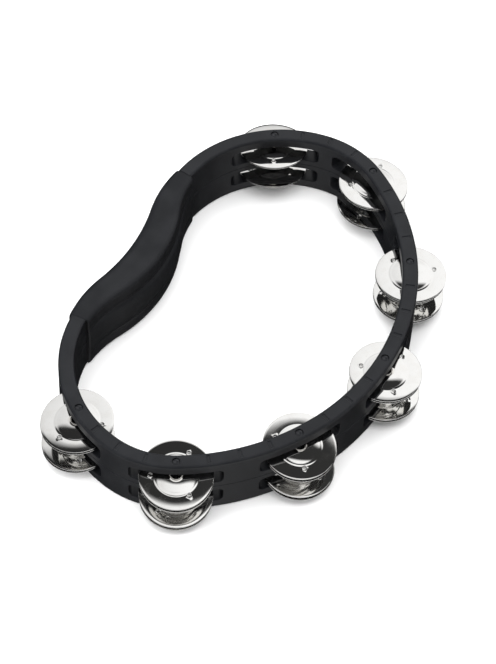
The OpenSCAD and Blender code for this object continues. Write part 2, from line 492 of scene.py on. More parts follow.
@dataclass(frozen=True)
class Loop:
    """The frame's centre line: three arcs from the front pin, then the handle's arc back.

    Stations are lengths along it from the front pin, positive towards +Y. A point is given by
    its station, how far out of the loop it lies, and its height.
    """

    front: tuple[float, float] = (166 * MM, math.radians(59.3))
    shoulder: tuple[float, float] = (65.6 * MM, math.radians(39.9))
    lobe: tuple[float, float] = (86.6 * MM, math.radians(99.3))
    front_to_middle: float = 90.2 * MM
    cover: float = math.radians(24)
    pins: tuple[float, ...] = (86.6 * MM, 172.4 * MM, 254.2 * MM)
    search: float = 50 * MM
    search_count: int = 801

    def _arcs(self) -> list[tuple[float, float, float, float, float, float]]:
        """The three arcs and the handle's arc, in order.

        Returns:
            Each arc's first station, centre, radius, first heading and turning sense.
        """
        x, y, heading, start = self.front_to_middle, 0.0, math.pi / 2, 0.0
        arcs = []
        for radius, turn in (self.front, self.shoulder, self.lobe):
            cx, cy = x - radius * math.sin(heading), y + radius * math.cos(heading)
            arcs.append((start, cx, cy, radius, heading, 1.0))
            heading += turn
            x, y = cx + radius * math.sin(heading), cy - radius * math.cos(heading)
            start += radius * turn
        radius = y / math.cos(heading)
        cx, cy = x + radius * math.sin(heading), y - radius * math.cos(heading)
        arcs.append((start, cx, cy, radius, heading, -1.0))
        return arcs

    @property
    def half_length(self) -> float:
        """The station of the handle's middle."""
        start, _, _, radius, heading, _ = self._arcs()[3]
        return start + radius * (heading - 1.5 * math.pi)

    @property
    def grip_start(self) -> float:
        """The station where the grip begins."""
        return self._arcs()[3][0] - self.lobe[0] * self.cover

    @property
    def pin_stations(self) -> list[float]:
        """The pins' stations, from position 1 to position 7."""
        return [*reversed(self.pins), 0.0, *(-s for s in self.pins)]

    def places(self, stations: np.ndarray) -> tuple[np.ndarray, np.ndarray, np.ndarray]:
        """Where stations are.

        Args:
            stations: Lengths along the loop.

        Returns:
            Their x, their y, and the direction out of the loop there, in radians.
        """
        s = np.asarray(stations, float)
        side = np.where(s < 0, -1.0, 1.0)
        table = np.array(self._arcs())
        rows = table[np.searchsorted(table[:, 0], np.abs(s), side="right") - 1]
        start, cx, cy, radius, heading, sense = rows.T
        turned = heading + sense * (np.abs(s) - start) / radius
        x = cx + sense * radius * np.sin(turned)
        y = cy - sense * radius * np.cos(turned)
        return x, side * y, side * (turned - math.pi / 2)

    def points(self, stations: Any, out: Any, height: Any) -> np.ndarray:
        """Places points that are given along the loop.

        Args:
            stations: Their stations.
            out: How far out of the loop they lie.
            height: Their heights.

        Returns:
            Rows of x, y and z.
        """
        s, u, z = np.broadcast_arrays(stations, out, height)
        x, y, angle = self.places(s.ravel())
        u, z = u.ravel(), z.ravel()
        return np.column_stack([x + u * np.cos(angle), y + u * np.sin(angle), z])

    def stations_at(self, pin: float, sideways: np.ndarray, out: float) -> np.ndarray:
        """Stations of points on a wall that lie some way beside a pin, measured straight.

        Args:
            pin: The pin's station.
            sideways: Distances from the pin along the loop's tangent there.
            out: How far out of the loop the wall is.

        Returns:
            The stations.
        """
        near = pin + np.linspace(-self.search, self.search, self.search_count)
        spots = self.points(near, out, 0.0)
        x, y, angle = self.places(np.array([pin]))
        along = (spots[:, 1] - y) * np.cos(angle) - (spots[:, 0] - x) * np.sin(angle)
        return np.interp(sideways, along, near)


LOOP = Loop()


# ---------------------------------------------------------------- mesh tools


@dataclass
class Skin:
    """Collects points and faces, and joins them into one closed mesh."""

    points: list[np.ndarray] = field(default_factory=list)
    faces: list[tuple[int, ...]] = field(default_factory=list)
    count: int = 0

    def put(self, points: np.ndarray) -> int:
        """Adds points.

        Args:
            points: Rows of x, y and z.

        Returns:
            The number of the first.
        """
        self.points.append(np.asarray(points, float))
        first = self.count
        self.count += len(points)
        return first

    def grid(self, rows: Sequence[np.ndarray], closed: bool = False) -> None:
        """Adds a grid of quads.

        Args:
            rows: Rows with the same number of points.
            closed: Whether each row's last point joins its first.
        """
        width = len(rows[0])
        starts = [self.put(row) for row in rows]
        for a, b in zip(starts, starts[1:]):
            for i in range(width if closed else width - 1):
                j = (i + 1) % width
                self.faces.append((a + i, a + j, b + j, b + i))

    def cap(self, ring: np.ndarray) -> None:
        """Adds one flat face round a ring of points."""
        first = self.put(ring)
        self.faces.append(tuple(range(first, first + len(ring))))

    def mesh(self, name: str, sharp_deg: float = 35.0, weld: float = 1e-6) -> bpy.types.Mesh:
        """Joins what was added into a mesh.

        Args:
            name: The mesh's name.
            sharp_deg: Edges that bend more than this stay crisp.
            weld: Points nearer than this become one.

        Returns:
            The mesh.
        """
        mesh = bpy.data.meshes.new(name)
        mesh.from_pydata(np.concatenate(self.points).tolist(), [], self.faces)
        form = bmesh.new()
        form.from_mesh(mesh)
        bmesh.ops.remove_doubles(form, verts=form.verts, dist=weld)
        bmesh.ops.dissolve_degenerate(form, edges=form.edges, dist=weld * 0.5)
        bmesh.ops.recalc_face_normals(form, faces=form.faces)
        open_edges = sum(1 for e in form.edges if len(e.link_faces) != 2)
        form.to_mesh(mesh)
        form.free()
        mesh.shade_smooth()
        mesh.set_sharp_from_angle(angle=math.radians(sharp_deg))
        if open_edges:
            LOG.warning("%s has %d edges that don't join two faces", name, open_edges)
        return mesh


def lathe(profile: Sequence[tuple[float, float]], angles: np.ndarray) -> list[np.ndarray]:
    """Turns a profile about the Z axis.

    Args:
        profile: Pairs of a radius and a height.
        angles: The angles of its points, round the whole turn.

    Returns:
        One ring of points for each pair.
    """
    return [
        np.column_stack([r * np.cos(angles), r * np.sin(angles), np.full(len(angles), z)])
        for r, z in profile
    ]


def arc(centre: tuple[float, float], radius: float, start: float, end: float, steps: int) -> list:
    """Points along an arc.

    Args:
        centre: Its centre.
        radius: Its radius.
        start: Its first angle, in degrees.
        end: Its last angle, in degrees.
        steps: How many steps it takes.

    Returns:
        Pairs of coordinates.
    """
    angles = np.radians(np.linspace(start, end, steps + 1))
    return [(centre[0] + radius * math.cos(a), centre[1] + radius * math.sin(a)) for a in angles]


def add_piece(
    mesh: bpy.types.Mesh,
    finish: Finish,
    body: str,
    nodes: Sequence[str],
    place: Matrix | None = None,
) -> bpy.types.Object:
    """Makes an object that stands for CAD nodes and rides on their body.

    Args:
        mesh: Its mesh.
        finish: What it is made of.
        body: The body it rides on.
        nodes: The CAD nodes it stands for.
        place: Where it stands, if its mesh is drawn about its own origin.

    Returns:
        The object.
    """
    piece = bpy.data.objects.new(mesh.name, mesh)
    bpy.context.scene.collection.objects.link(piece)
    mesh.materials.clear()
    mesh.materials.append(finish.material())
    if place is not None:
        piece.matrix_world = place
    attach(piece, body)
    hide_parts(*nodes)
    LOG.info("%s: %d faces, stands for %s", piece.name, len(mesh.polygons), ", ".join(nodes))
    return piece


def inside(points: np.ndarray, ring: np.ndarray) -> np.ndarray:
    """Which points lie inside a ring.

    Args:
        points: Rows of two coordinates.
        ring: The ring's corners in order.

    Returns:
        One truth value for each point.
    """
    x, y = points[:, 0][:, None], points[:, 1][:, None]
    x0, y0 = ring[:, 0], ring[:, 1]
    x1, y1 = np.roll(x0, -1), np.roll(y0, -1)
    span = np.where(y1 == y0, 1.0, y1 - y0)
    crossed = ((y0 > y) != (y1 > y)) & (x < x0 + (y - y0) * (x1 - x0) / span)
    return crossed.sum(1) % 2 == 1


def fill(
    skin: Skin,
    border: np.ndarray,
    holes: Sequence[np.ndarray],
    lattice: np.ndarray,
    lift: Callable[[np.ndarray], np.ndarray],
    clear: float = 0.5 * MM,
) -> None:
    """Fills a convex outline that has holes with even triangles, and lifts them into place.

    Args:
        skin: Where the faces go.
        border: The outline's points.
        holes: The holes' points.
        lattice: Points to spread inside it.
        lift: Takes flat points to their places.
        clear: How far lattice points stay from a hole.
    """
    keep = np.ones(len(lattice), bool)
    for hole in holes:
        gap = np.linalg.norm(lattice[:, None] - hole[None], axis=2).min(1)
        keep &= ~inside(lattice, hole) & (gap > clear)
    rings = [border, *holes]
    flat = np.concatenate([*rings, lattice[keep]]) / MM
    edges, first = [], 0
    for ring in rings:
        edges += [(first + i, first + (i + 1) % len(ring)) for i in range(len(ring))]
        first += len(ring)
    made, _, faces, *_ = delaunay_2d_cdt([Vector(p) for p in flat], edges, [], 0, 1e-7)
    made = np.array([tuple(p) for p in made]) * MM
    faces = np.array(faces)
    middles = made[faces].mean(1)
    solid = np.ones(len(faces), bool)
    for hole in holes:
        solid &= ~inside(middles, hole)
    start = skin.put(lift(made))
    skin.faces += [tuple(int(i) + start for i in f) for f in faces[solid]]


# ---------------------------------------------------------------- the frame


@dataclass
class FrameHalf:
    """One moulded half of the frame, with its row of slots, head recesses and rim marks."""

    row: Row
    finish: Finish
    wall: float = 11 * MM
    rim: float = 1.9 * MM
    chamfer: float = 0.3 * MM
    slot_size: tuple[float, float] = (63 * MM, 12.8 * MM)
    slot_corner: float = 3.4 * MM
    rim_height: float = 8 * MM
    slot_fillet: float = 0.45 * MM
    recess: tuple[float, float] = (2.8 * MM, 1.6 * MM)
    recess_edge: float = 0.2 * MM
    mark: tuple[float, float, float] = (2 * MM, 6 * MM, 0.5 * MM)
    mark_edge: float = 0.25 * MM
    core: tuple[float, float, float] = (9.6 * MM, 0.4 * MM, 3.6 * MM)
    step: float = 3 * MM
    wall_lines: int = 9
    rim_lines: int = 6
    slot_run: int = 20
    corner_steps: int = 7
    round_steps: int = 8
    fillet_steps: int = 4
    recess_turn: int = 15
    core_steps: int = 39

    def __post_init__(self) -> None:
        """Takes the half's height and its parting plane from its CAD node."""
        self.node = f"frame_{self.row.value}_half"
        low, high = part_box(self.node)
        self.tall = high.z - low.z
        self.parting, self.up = (low.z, 1.0) if self.row is Row.UPPER else (high.z, -1.0)
        end = LOOP.grip_start
        self.cuts = np.linspace(-end, end, 2 * round(end / self.step) + 1)
        self.levels = np.linspace(self.chamfer, self.tall - self.rim, self.wall_lines)
        self.lanes = np.linspace(-1, 1, self.rim_lines) * (self.wall / 2 - self.rim)

    def _lifted(self, stations: Any, out: Any, height: Any) -> np.ndarray:
        """Points by station, distance out and height above the parting plane."""
        return LOOP.points(stations, out, self.parting + self.up * np.asarray(height, float))

    def _lattice(self, across: np.ndarray) -> tuple[np.ndarray, np.ndarray]:
        """The border and inner points of a strip that runs the length of the half.

        Args:
            across: The strip's lines, from one edge to the other.

        Returns:
            The border ring, and the points inside it.
        """
        cuts = self.cuts
        border = [(s, across[0]) for s in cuts] + [(cuts[-1], a) for a in across[1:]]
        border += [(s, across[-1]) for s in cuts[-2::-1]]
        border += [(cuts[0], a) for a in across[-2:0:-1]]
        inner = [(s, a) for s in cuts[1:-1] for a in across[1:-1]]
        return np.array(border), np.array(inner)

    def _slot_ring(self, grow: float) -> np.ndarray:
        """A slot's outline about its pin, grown on all sides.

        Args:
            grow: How much it is grown.

        Returns:
            Rows of sideways distance and height above the parting plane.
        """
        half = self.slot_size[0] / 2 + grow
        low = self.tall - self.rim_height - self.slot_size[1] - grow
        high = self.tall - self.rim_height + grow
        r = self.slot_corner + grow
        n = self.corner_steps
        run = np.linspace(r - half, half - r, self.slot_run)
        ring = arc((half - r, low + r), r, -90, 0, n) + arc((half - r, high - r), r, 0, 90, n)
        ring += [(y, high) for y in run[-2:0:-1]]
        ring += arc((r - half, high - r), r, 90, 180, n) + arc((r - half, low + r), r, 180, 270, n)
        ring += [(y, low) for y in run[1:-1]]
        return np.array(ring)

    def _slot_on_wall(self, pin: float, out: float, grow: float) -> np.ndarray:
        """A slot's outline where it meets a wall, as stations and heights."""
        ring = self._slot_ring(grow)
        return np.column_stack([LOOP.stations_at(pin, ring[:, 0], out), ring[:, 1]])

    def _walls(self, skin: Skin) -> None:
        """Adds the outer and inner walls, with the slots cut through them.

        Args:
            skin: Where the faces go.
        """
        border, inner = self._lattice(self.levels)
        pins = LOOP.pin_stations
        for out in (self.wall / 2, -self.wall / 2):
            holes = [self._slot_on_wall(pin, out, self.slot_fillet) for pin in pins]
            fill(skin, border, holes, inner, lambda p, u=out: self._lifted(p[:, 0], u, p[:, 1]))
        for pin in pins:
            rings = []
            turns = np.radians(np.linspace(0, 90, self.fillet_steps + 1))
            for side, angles in ((1, turns), (-1, turns[::-1])):
                for a in angles:
                    grow = self.slot_fillet * (1 - math.sin(a))
                    out = side * (self.wall / 2 - self.slot_fillet * (1 - math.cos(a)))
                    spots = self._slot_on_wall(pin, out, grow)
                    rings.append(self._lifted(spots[:, 0], out, spots[:, 1]))
            skin.grid(rings, closed=True)

    def _rounded_edges(self, skin: Skin) -> None:
        """Adds the rounded rim edges, the chamfers and the face at the parting line.

        Args:
            skin: Where the faces go.
        """
        half, flat = self.wall / 2, self.wall / 2 - self.rim
        for side in (1, -1):
            edge = arc((flat, self.tall - self.rim), self.rim, 0, 90, self.round_steps)
            skin.grid([self._lifted(self.cuts, side * u, h) for u, h in edge])
            low = [(half, self.chamfer), (half - self.chamfer, 0.0)]
            skin.grid([self._lifted(self.cuts, side * u, h) for u, h in low])
        inset = half - self.chamfer
        skin.grid([self._lifted(self.cuts, u, 0.0) for u in (-inset, inset)])

    def _rim_face(self, skin: Skin) -> None:
        """Adds the flat of the rim, with a recess at each pin and marks between the pins.

        Args:
            skin: Where the faces go.
        """
        border, inner = self._lattice(self.lanes)
        turn = np.radians(np.arange(0, 360, self.recess_turn))
        circle = np.column_stack([np.cos(turn), np.sin(turn)])
        radius, depth = self.recess
        edge = self.recess_edge
        sunk = []
        for pin in LOOP.pin_stations:
            steps = [(radius + edge, 0), (radius + edge * 0.3, edge * 0.3)]
            steps += [(radius, edge), (radius, depth)]
            sunk.append([(circle * r + (pin, 0.0), d) for r, d in steps])
        if self.row is Row.UPPER:
            sunk += [self._mark(s) for s in self._mark_stations()]
        holes = [steps[0][0] for steps in sunk]
        fill(
            skin, border, holes, inner,
            lambda p: self._lifted(p[:, 0], p[:, 1], self.tall), 0.25 * MM,
        )
        for steps in sunk:
            rings = [self._lifted(r[:, 0], r[:, 1], self.tall - d) for r, d in steps]
            skin.grid(rings, closed=True)
            skin.cap(rings[-1])

    @staticmethod
    def _mark_stations() -> list[float]:
        """Stations of the marks, at the quarter points between neighbouring pins."""
        pins = LOOP.pin_stations
        return [a + (b - a) * t for a, b in zip(pins, pins[1:]) for t in (0.25, 0.5, 0.75)]

    def _mark(self, station: float) -> list[tuple[np.ndarray, float]]:
        """A mark's outlines, from the rim down.

        Args:
            station: The mark's station.

        Returns:
            Pairs of an outline and its depth.
        """
        wide, long, deep = self.mark
        across = np.linspace(-0.5, 0.5, 6)
        steps = []
        for grow, depth in ((self.mark_edge, 0), (0, self.mark_edge), (0, deep)):
            a, b = wide / 2 + grow, long / 2 + grow
            ring = [(a, 2 * b * t) for t in across] + [(-a, -2 * b * t) for t in across]
            steps.append((np.array(ring) + (station, 0.0), depth))
        return steps

    def _section(self) -> np.ndarray:
        """The half's section.

        Returns:
            Its points, from the outer edge at the parting line round to the inner one.
        """
        half, flat = self.wall / 2, self.wall / 2 - self.rim
        edge = arc((flat, self.tall - self.rim), self.rim, 0, 90, self.round_steps)
        outer = [(half - self.chamfer, 0.0)] + [(half, h) for h in self.levels[:-1]] + edge
        top = [(u, self.tall) for u in self.lanes[-2:0:-1]]
        return np.array(outer + top + [(-u, h) for u, h in reversed(outer)])

    def _core(self, skin: Skin) -> None:
        """Adds the ends under the grip, and the core that runs through the grip.

        Args:
            skin: Where the faces go.
        """
        width, low, down = self.core
        high = self.tall - down
        sides = [(width / 2, low), (width / 2, high), (-width / 2, high), (-width / 2, low)]
        ring = np.array(sides)
        end, middle = LOOP.grip_start, LOOP.half_length
        for s in (-end, end):
            fill(
                skin, self._section(), [ring], np.empty((0, 2)),
                lambda p, s=s: self._lifted(s, p[:, 0], p[:, 1]),
            )
        run = np.linspace(end, middle, self.core_steps + 1)
        stations = [*run, *(-run[-2::-1])]
        skin.grid([self._lifted(s, ring[:, 0], ring[:, 1]) for s in stations], closed=True)

    def build(self) -> bpy.types.Object:
        """Builds the half and dresses it.

        Returns:
            The half.
        """
        skin = Skin()
        self._walls(skin)
        self._rounded_edges(skin)
        self._rim_face(skin)
        self._core(skin)
        name = f"{self.row.value}_shell"
        piece = add_piece(skin.mesh(name), self.finish, FRAME_BODY, [self.node])
        piece.modifiers.new("even_shading", "WEIGHTED_NORMAL").keep_sharp = True
        return piece


# ---------------------------------------------------------------- the grip


@dataclass
class HandGrip:
    """The soft sleeve on the handle: a crowned top, a grooved inner side and a finger pad."""

    finish: Finish
    out_width: float = 12.3 * MM
    in_width: float = 12.6 * MM
    end_width: float = 7.8 * MM
    crown: float = 0.8 * MM
    bulge: float = 3.0 * MM
    pad_edge: float = 12.5 * MM
    pad_half: float = 11.5 * MM
    corner: float = 3.0 * MM
    lip: float = 1.5 * MM
    channel: float = 0.55 * MM
    ridge: float = 0.35 * MM
    core: tuple[float, float] = (9.8 * MM, 3.5 * MM)
    roundness: float = 0.62
    end_bulge: float = 0.4 * MM
    groove: tuple[float, float] = (0.3 * MM, 1.0 * MM)
    groove_tall: float = 1.6 * MM
    groove_cuts: tuple[float, ...] = (0.5, 0.85, 1.0)
    fade: float = 4 * MM
    channel_line: tuple[float, float] = (0.22, 3.6 * MM)
    ridge_line: tuple[float, float] = (3.4 * MM, 1.5 * MM)
    fall: float = 0.8 * MM
    easing: int = 3
    node: str = "hand_grip"

    def __post_init__(self) -> None:
        """Takes the frame's height from its CAD nodes."""
        self.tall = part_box("frame_upper_half")[1].z
        self.reach = LOOP.half_length - LOOP.grip_start

    def _key_points(self, d: float) -> np.ndarray:
        """The outer section at a distance from the grip's nearer end.

        Args:
            d: That distance.

        Returns:
            Rows of distance out of the loop and height, from the lower outer corner round.
        """
        k = math.sin(math.pi / 2 * min(1.0, d / self.reach))
        lip = max(0.0, 1 - d / self.lip)
        lip = 1 - math.sqrt(max(0.0, 1 - lip * lip))
        sink = lip * MM
        out_w = self.end_width + (self.out_width - self.end_width) * k - sink
        in_w = self.end_width + (self.in_width - self.end_width) * k - sink
        r, c = out_w * self.roundness, self.corner
        top = self.tall + self.crown * k - sink * 0.6
        low = sink * 0.6
        groove = self.groove[0] + self.groove[1] * k
        rise = self.groove_tall
        bulge = self.end_bulge + (self.bulge - self.end_bulge) * k
        middle = self.tall / 2
        upper = self.tall - self.pad_edge
        ring = arc((out_w - r, low + r), r, -90, 0, 12)
        ring += [(out_w, z) for z in np.linspace(low + r, top - r, 8)[1:-1]]
        ring += arc((out_w - r, top - r), r, 0, 90, 14)
        ring += [(u, top) for u in np.linspace(out_w - r, c - in_w, 18)[1:-1]]
        ring += arc((c - in_w, top - c), c, 90, 180, 10)
        ring += [(-in_w, z) for z in np.linspace(top - c, upper + rise, 8)[1:]]
        ring += [(-in_w + groove * t, upper + rise * (1 - t)) for t in self.groove_cuts]
        turns = np.radians(np.linspace(78, -78, 26))
        pad = self.pad_half
        ring += [(-in_w - bulge * math.cos(a) ** 0.8, middle + pad * math.sin(a)) for a in turns]
        lower = self.pad_edge
        ring += [(-in_w + groove * t, lower - rise * (1 - t)) for t in reversed(self.groove_cuts)]
        ring += [(-in_w, z) for z in np.linspace(lower - rise, low + c, 8)[:-1]]
        ring += arc((c - in_w, low + c), c, 180, 270, 10)
        ring += [(u, low) for u in np.linspace(c - in_w, out_w - r, 10)[1:-1]]
        points = np.array(ring)
        return self._sculpted(points, k, out_w, in_w, top)

    def _sculpted(
        self, points: np.ndarray, k: float, out_w: float, in_w: float, top: float
    ) -> np.ndarray:
        """Presses a channel along the top, raises a ridge beside it and eases the corners.

        Args:
            points: The section's points.
            k: How far the grip has swollen, from 0 to 1.
            out_w: Its width on the outer side.
            in_w: Its width on the inner side.
            top: The height of its top.

        Returns:
            The section's points.
        """
        u, z = points[:, 0], points[:, 1].copy()
        (share, dip_width), (inset, ridge_width) = self.channel_line, self.ridge_line
        above = np.clip((z - (top - self.fade)) / self.fade, 0, 1)
        dip = np.exp(-(((u + in_w * share) / dip_width) ** 2))
        ridge = np.exp(-(((u + in_w - inset) / ridge_width) ** 2))
        fall = np.clip(u / out_w, 0, 1) ** 2
        z += above * k * (self.ridge * ridge - self.channel * dip - self.fall * fall)
        eased = np.column_stack([u, z])
        for _ in range(self.easing):
            eased = 0.25 * np.roll(eased, 1, 0) + 0.5 * eased + 0.25 * np.roll(eased, -1, 0)
        return eased

    def _core_points(self, count: int) -> np.ndarray:
        """Points round the hole for the frame's core.

        Args:
            count: How many, which is the section's own number of points.

        Returns:
            Rows of distance out of the loop and height.
        """
        half, wall = self.core[0] / 2, self.core[1]
        middle = self.tall / 2
        around = np.linspace(-0.25, 0.75, count, endpoint=False) * 2 * math.pi
        x, y = np.cos(around), np.sin(around)
        reach = np.maximum(np.abs(x), np.abs(y))
        return np.column_stack([x / reach * half, middle + y / reach * (middle - wall)])

    def build(self) -> bpy.types.Object:
        """Builds the grip and dresses it.

        Returns:
            The grip.
        """
        lip = self.lip * (1 - np.cos(np.linspace(0, math.pi / 2, 7)))
        near = np.concatenate([lip, np.linspace(self.lip, self.reach, 34)[1:]])
        along = np.concatenate([near, 2 * self.reach - near[-2::-1]])
        outer, inner = [], []
        for e in along:
            s = LOOP.grip_start + e if e <= self.reach else e - LOOP.grip_start - 2 * self.reach
            section = self._key_points(min(e, 2 * self.reach - e))
            hole = self._core_points(len(section))
            outer.append(LOOP.points(s, section[:, 0], section[:, 1]))
            inner.append(LOOP.points(s, hole[:, 0], hole[:, 1]))
        skin = Skin()
        skin.grid(outer, closed=True)
        skin.grid(inner, closed=True)
        skin.grid([outer[0], inner[0]], closed=True)
        skin.grid([outer[-1], inner[-1]], closed=True)
        mesh = skin.mesh("grip_sleeve", 50.0)
        return add_piece(mesh, self.finish, FRAME_BODY, [self.node])


# ---------------------------------------------------------------- pins and jingles


@dataclass
class JinglePin:
    """One pin, with a domed head at each rim."""

    position: int
    finish: Finish
    shaft: float = 1.5 * MM
    head: float = 2.7 * MM
    head_height: float = 1.2 * MM
    edge: float = 0.45 * MM
    dome: float = 0.22 * MM
    sides: int = 40
    dome_cuts: tuple[float, ...] = (0.0, 0.35, 0.7, 1.0)
    neck: float = 1 * MM

    def build(self) -> bpy.types.Object:
        """Builds the pin and dresses it.

        Returns:
            The pin.
        """
        node = f"jingle_pin_{self.position}"
        low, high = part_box(node)
        middle, half = (low + high) / 2, (high.z - low.z) / 2
        face = self.head - self.edge
        rise = [(face * t, half - self.dome * t * t) for t in self.dome_cuts]
        edge = arc((face, half - self.dome - self.edge), self.edge, 75, 0, 4)
        under = half - self.head_height
        top = [*rise, *edge, (self.head, under), (self.shaft, under), (self.shaft, under - self.neck)]
        profile = top + [(r, -z) for r, z in reversed(top)]
        angles = np.linspace(0, 2 * math.pi, self.sides, endpoint=False)
        skin = Skin()
        skin.grid(lathe(profile, angles), closed=True)
        mesh = skin.mesh(f"pin_{self.position}")
        place = Matrix.Translation(middle)
        return add_piece(mesh, self.finish, FRAME_BODY, [node], place)


@dataclass
class JingleDisc:
    """A stamped jingle: a flange with three dimples, a step, a domed middle and a raised lip."""

    finish: Finish
    radius: float = 25 * MM
    sheet: float = 0.5 * MM
    hole: float = 3.7 * MM
    lip_width: float = 0.6 * MM
    lip_height: float = 0.5 * MM
    dome_edge: float = 14.2 * MM
    flange_edge: float = 16.0 * MM
    crest: float = 2.5 * MM
    dome_drop: float = 1.2 * MM
    flange: tuple[float, float] = (0.98 * MM, 0.50 * MM)
    dimple_place: float = 17.2 * MM
    dimple_radius: float = 1.5 * MM
    dimple_depth: float = 0.6 * MM
    dimple_rim: float = 0.13 * MM
    dimple_clear: float = 2 * MM
    dimple_turns: tuple[float, ...] = (0.0, 120.0, 240.0)
    dimple_span: float = 7.0
    dome_power: float = 2.2
    lip_foot: float = 0.45 * MM
    edge_inset: float = 0.3 * MM
    rim_middle: float = 0.425 * MM
    play: float = 0.7 * MM
    edge_share: float = 0.992
    meshes: ClassVar[dict[str, bpy.types.Mesh]] = {}

    def _top(self, r: float) -> float:
        """The height of the top side.

        Args:
            r: The radius.

        Returns:
            The height there.
        """
        if r <= self.dome_edge:
            t = (r - self.hole) / (self.dome_edge - self.hole)
            return self.crest - self.dome_drop * t ** self.dome_power
        edge = self.crest - self.dome_drop
        if r <= self.flange_edge:
            t = (r - self.dome_edge) / (self.flange_edge - self.dome_edge)
            return edge + (self.flange[0] - edge) * (1 - math.cos(math.pi * t)) / 2
        t = (r - self.flange_edge) / (self.radius - self.flange_edge)
        return self.flange[0] + (self.flange[1] - self.flange[0]) * t * t

    def _profile(self) -> list[tuple[float, float]]:
        """The section.

        Returns:
            Its points, from the hole's top over the outside to the underside.
        """
        top = self.crest + self.lip_height
        half = self.lip_width / 2
        crest = arc((self.hole + half, top - half), half, 180, 0, 6)
        foot = self.hole + self.lip_width + self.lip_foot
        beyond = self.dimple_place + self.dimple_clear
        spots = np.concatenate([
            np.linspace(foot, self.dome_edge, 9),
            np.linspace(self.dome_edge, self.flange_edge, 9)[1:],
            np.linspace(self.flange_edge, beyond, 15)[1:],
            np.linspace(beyond, self.radius - self.edge_inset, 5)[1:],
        ])
        upper = [(r, self._top(r)) for r in spots]
        rim_z = self.flange[1] - self.sheet / 2
        rim = arc((self.radius - self.sheet / 2, rim_z), self.sheet / 2, 75, -75, 6)
        under = [(r, self._top(r) - self.sheet) for r in reversed([self.hole, *spots])]
        return [*crest, *upper, *rim, *under, crest[0]]

    def _angles(self) -> np.ndarray:
        """Angles of the rings' points, closer together across the dimples.

        Returns:
            The angles round the whole turn, in radians.
        """
        span, second = self.dimple_span, self.dimple_turns[1]
        fine = np.linspace(-span, span, 17)
        coarse = np.linspace(span, second - span, 26)[1:-1]
        third = np.concatenate([fine, coarse])
        return np.radians(np.concatenate([third + turn for turn in self.dimple_turns]))

    def _press_dimples(self, mesh: bpy.types.Mesh) -> None:
        """Presses the three dimples into both sides of the flange.

        Args:
            mesh: The disc's mesh.
        """
        count = len(mesh.vertices)
        spots = np.empty(count * 3)
        mesh.vertices.foreach_get("co", spots)
        spots = spots.reshape(-1, 3)
        for turn in np.radians(self.dimple_turns):
            centre = self.dimple_place * np.array([math.cos(turn), math.sin(turn)])
            away = np.linalg.norm(spots[:, :2] - centre, axis=1) / self.dimple_radius
            bowl = np.clip(1 - away ** 2, 0, 1) ** 0.75
            rim = np.exp(-(((away - 1.12) / 0.16) ** 2))
            spots[:, 2] += self.dimple_rim * rim - self.dimple_depth * bowl
        mesh.vertices.foreach_set("co", spots.ravel())
        mesh.update()

    def _mesh(self, name: str) -> bpy.types.Mesh:
        """A copy of the disc's mesh, with its rim plane at height 0 and its dome up.

        Args:
            name: The copy's name.

        Returns:
            The copy.
        """
        if "disc" not in self.meshes:
            skin = Skin()
            skin.grid(lathe(self._profile(), self._angles()), closed=True)
            mesh = skin.mesh("disc", 60.0)
            self._press_dimples(mesh)
            self.meshes["disc"] = mesh
        mesh = self.meshes["disc"].copy()
        mesh.name = name
        return mesh

    def _place(self, node: str) -> Matrix:
        """Where a jingle's CAD node lies.

        Args:
            node: The node's name.

        Returns:
            A frame on its rim plane, with Z through its dome and X through a dimple.
        """
        spots = np.array([v.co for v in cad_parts[node].data.vertices], float)
        centre = spots.mean(0)
        for _ in range(3):
            axes = np.linalg.svd(spots - centre, full_matrices=False)[2]
            flat = (spots - centre) @ axes[:2].T
            centre = centre + ((flat.max(0) + flat.min(0)) / 2) @ axes[:2]
            flat = (spots - centre) @ axes[:2].T
            edge = np.linalg.norm(flat, axis=1) > self.edge_share * self.radius
            rim = spots[edge]
            axes = np.linalg.svd(rim - rim.mean(0), full_matrices=False)[2]
            centre = rim.mean(0)
        normal = axes[2]
        lip = np.linalg.norm((spots - centre) @ axes[:2].T, axis=1) < self.hole + self.play
        if ((spots[lip] - centre) @ normal).mean() < 0:
            normal = -normal
        across = axes[0]
        beside = np.cross(normal, across)
        x, y = (spots - centre) @ across, (spots - centre) @ beside
        reach = np.hypot(x, y)
        dimples = np.abs(reach - self.dimple_place) < self.play
        turn = np.angle(np.exp(3j * np.arctan2(y, x))[dimples].mean()) / 3
        first = across * math.cos(turn) + beside * math.sin(turn)
        second = np.cross(normal, first)
        origin = centre - normal * self.rim_middle
        columns = np.column_stack([first, second, normal, origin])
        return Matrix([*columns.tolist(), (0.0, 0.0, 0.0, 1.0)])

    def build(self, position: int, row: Row, place: Place) -> bpy.types.Object:
        """Builds one jingle and dresses it.

        Args:
            position: Its position round the loop.
            row: Its row of slots.
            place: Its place in the pair.

        Returns:
            The jingle.
        """
        node = f"jingle_{position}_{row.value}_{place.value}"
        mesh = self._mesh(f"disc_{position}_{row.value}_{place.value}")
        where = self._place(node)
        return add_piece(mesh, self.finish, f"{node}_body", [node], where)


# ---------------------------------------------------------------- the studio


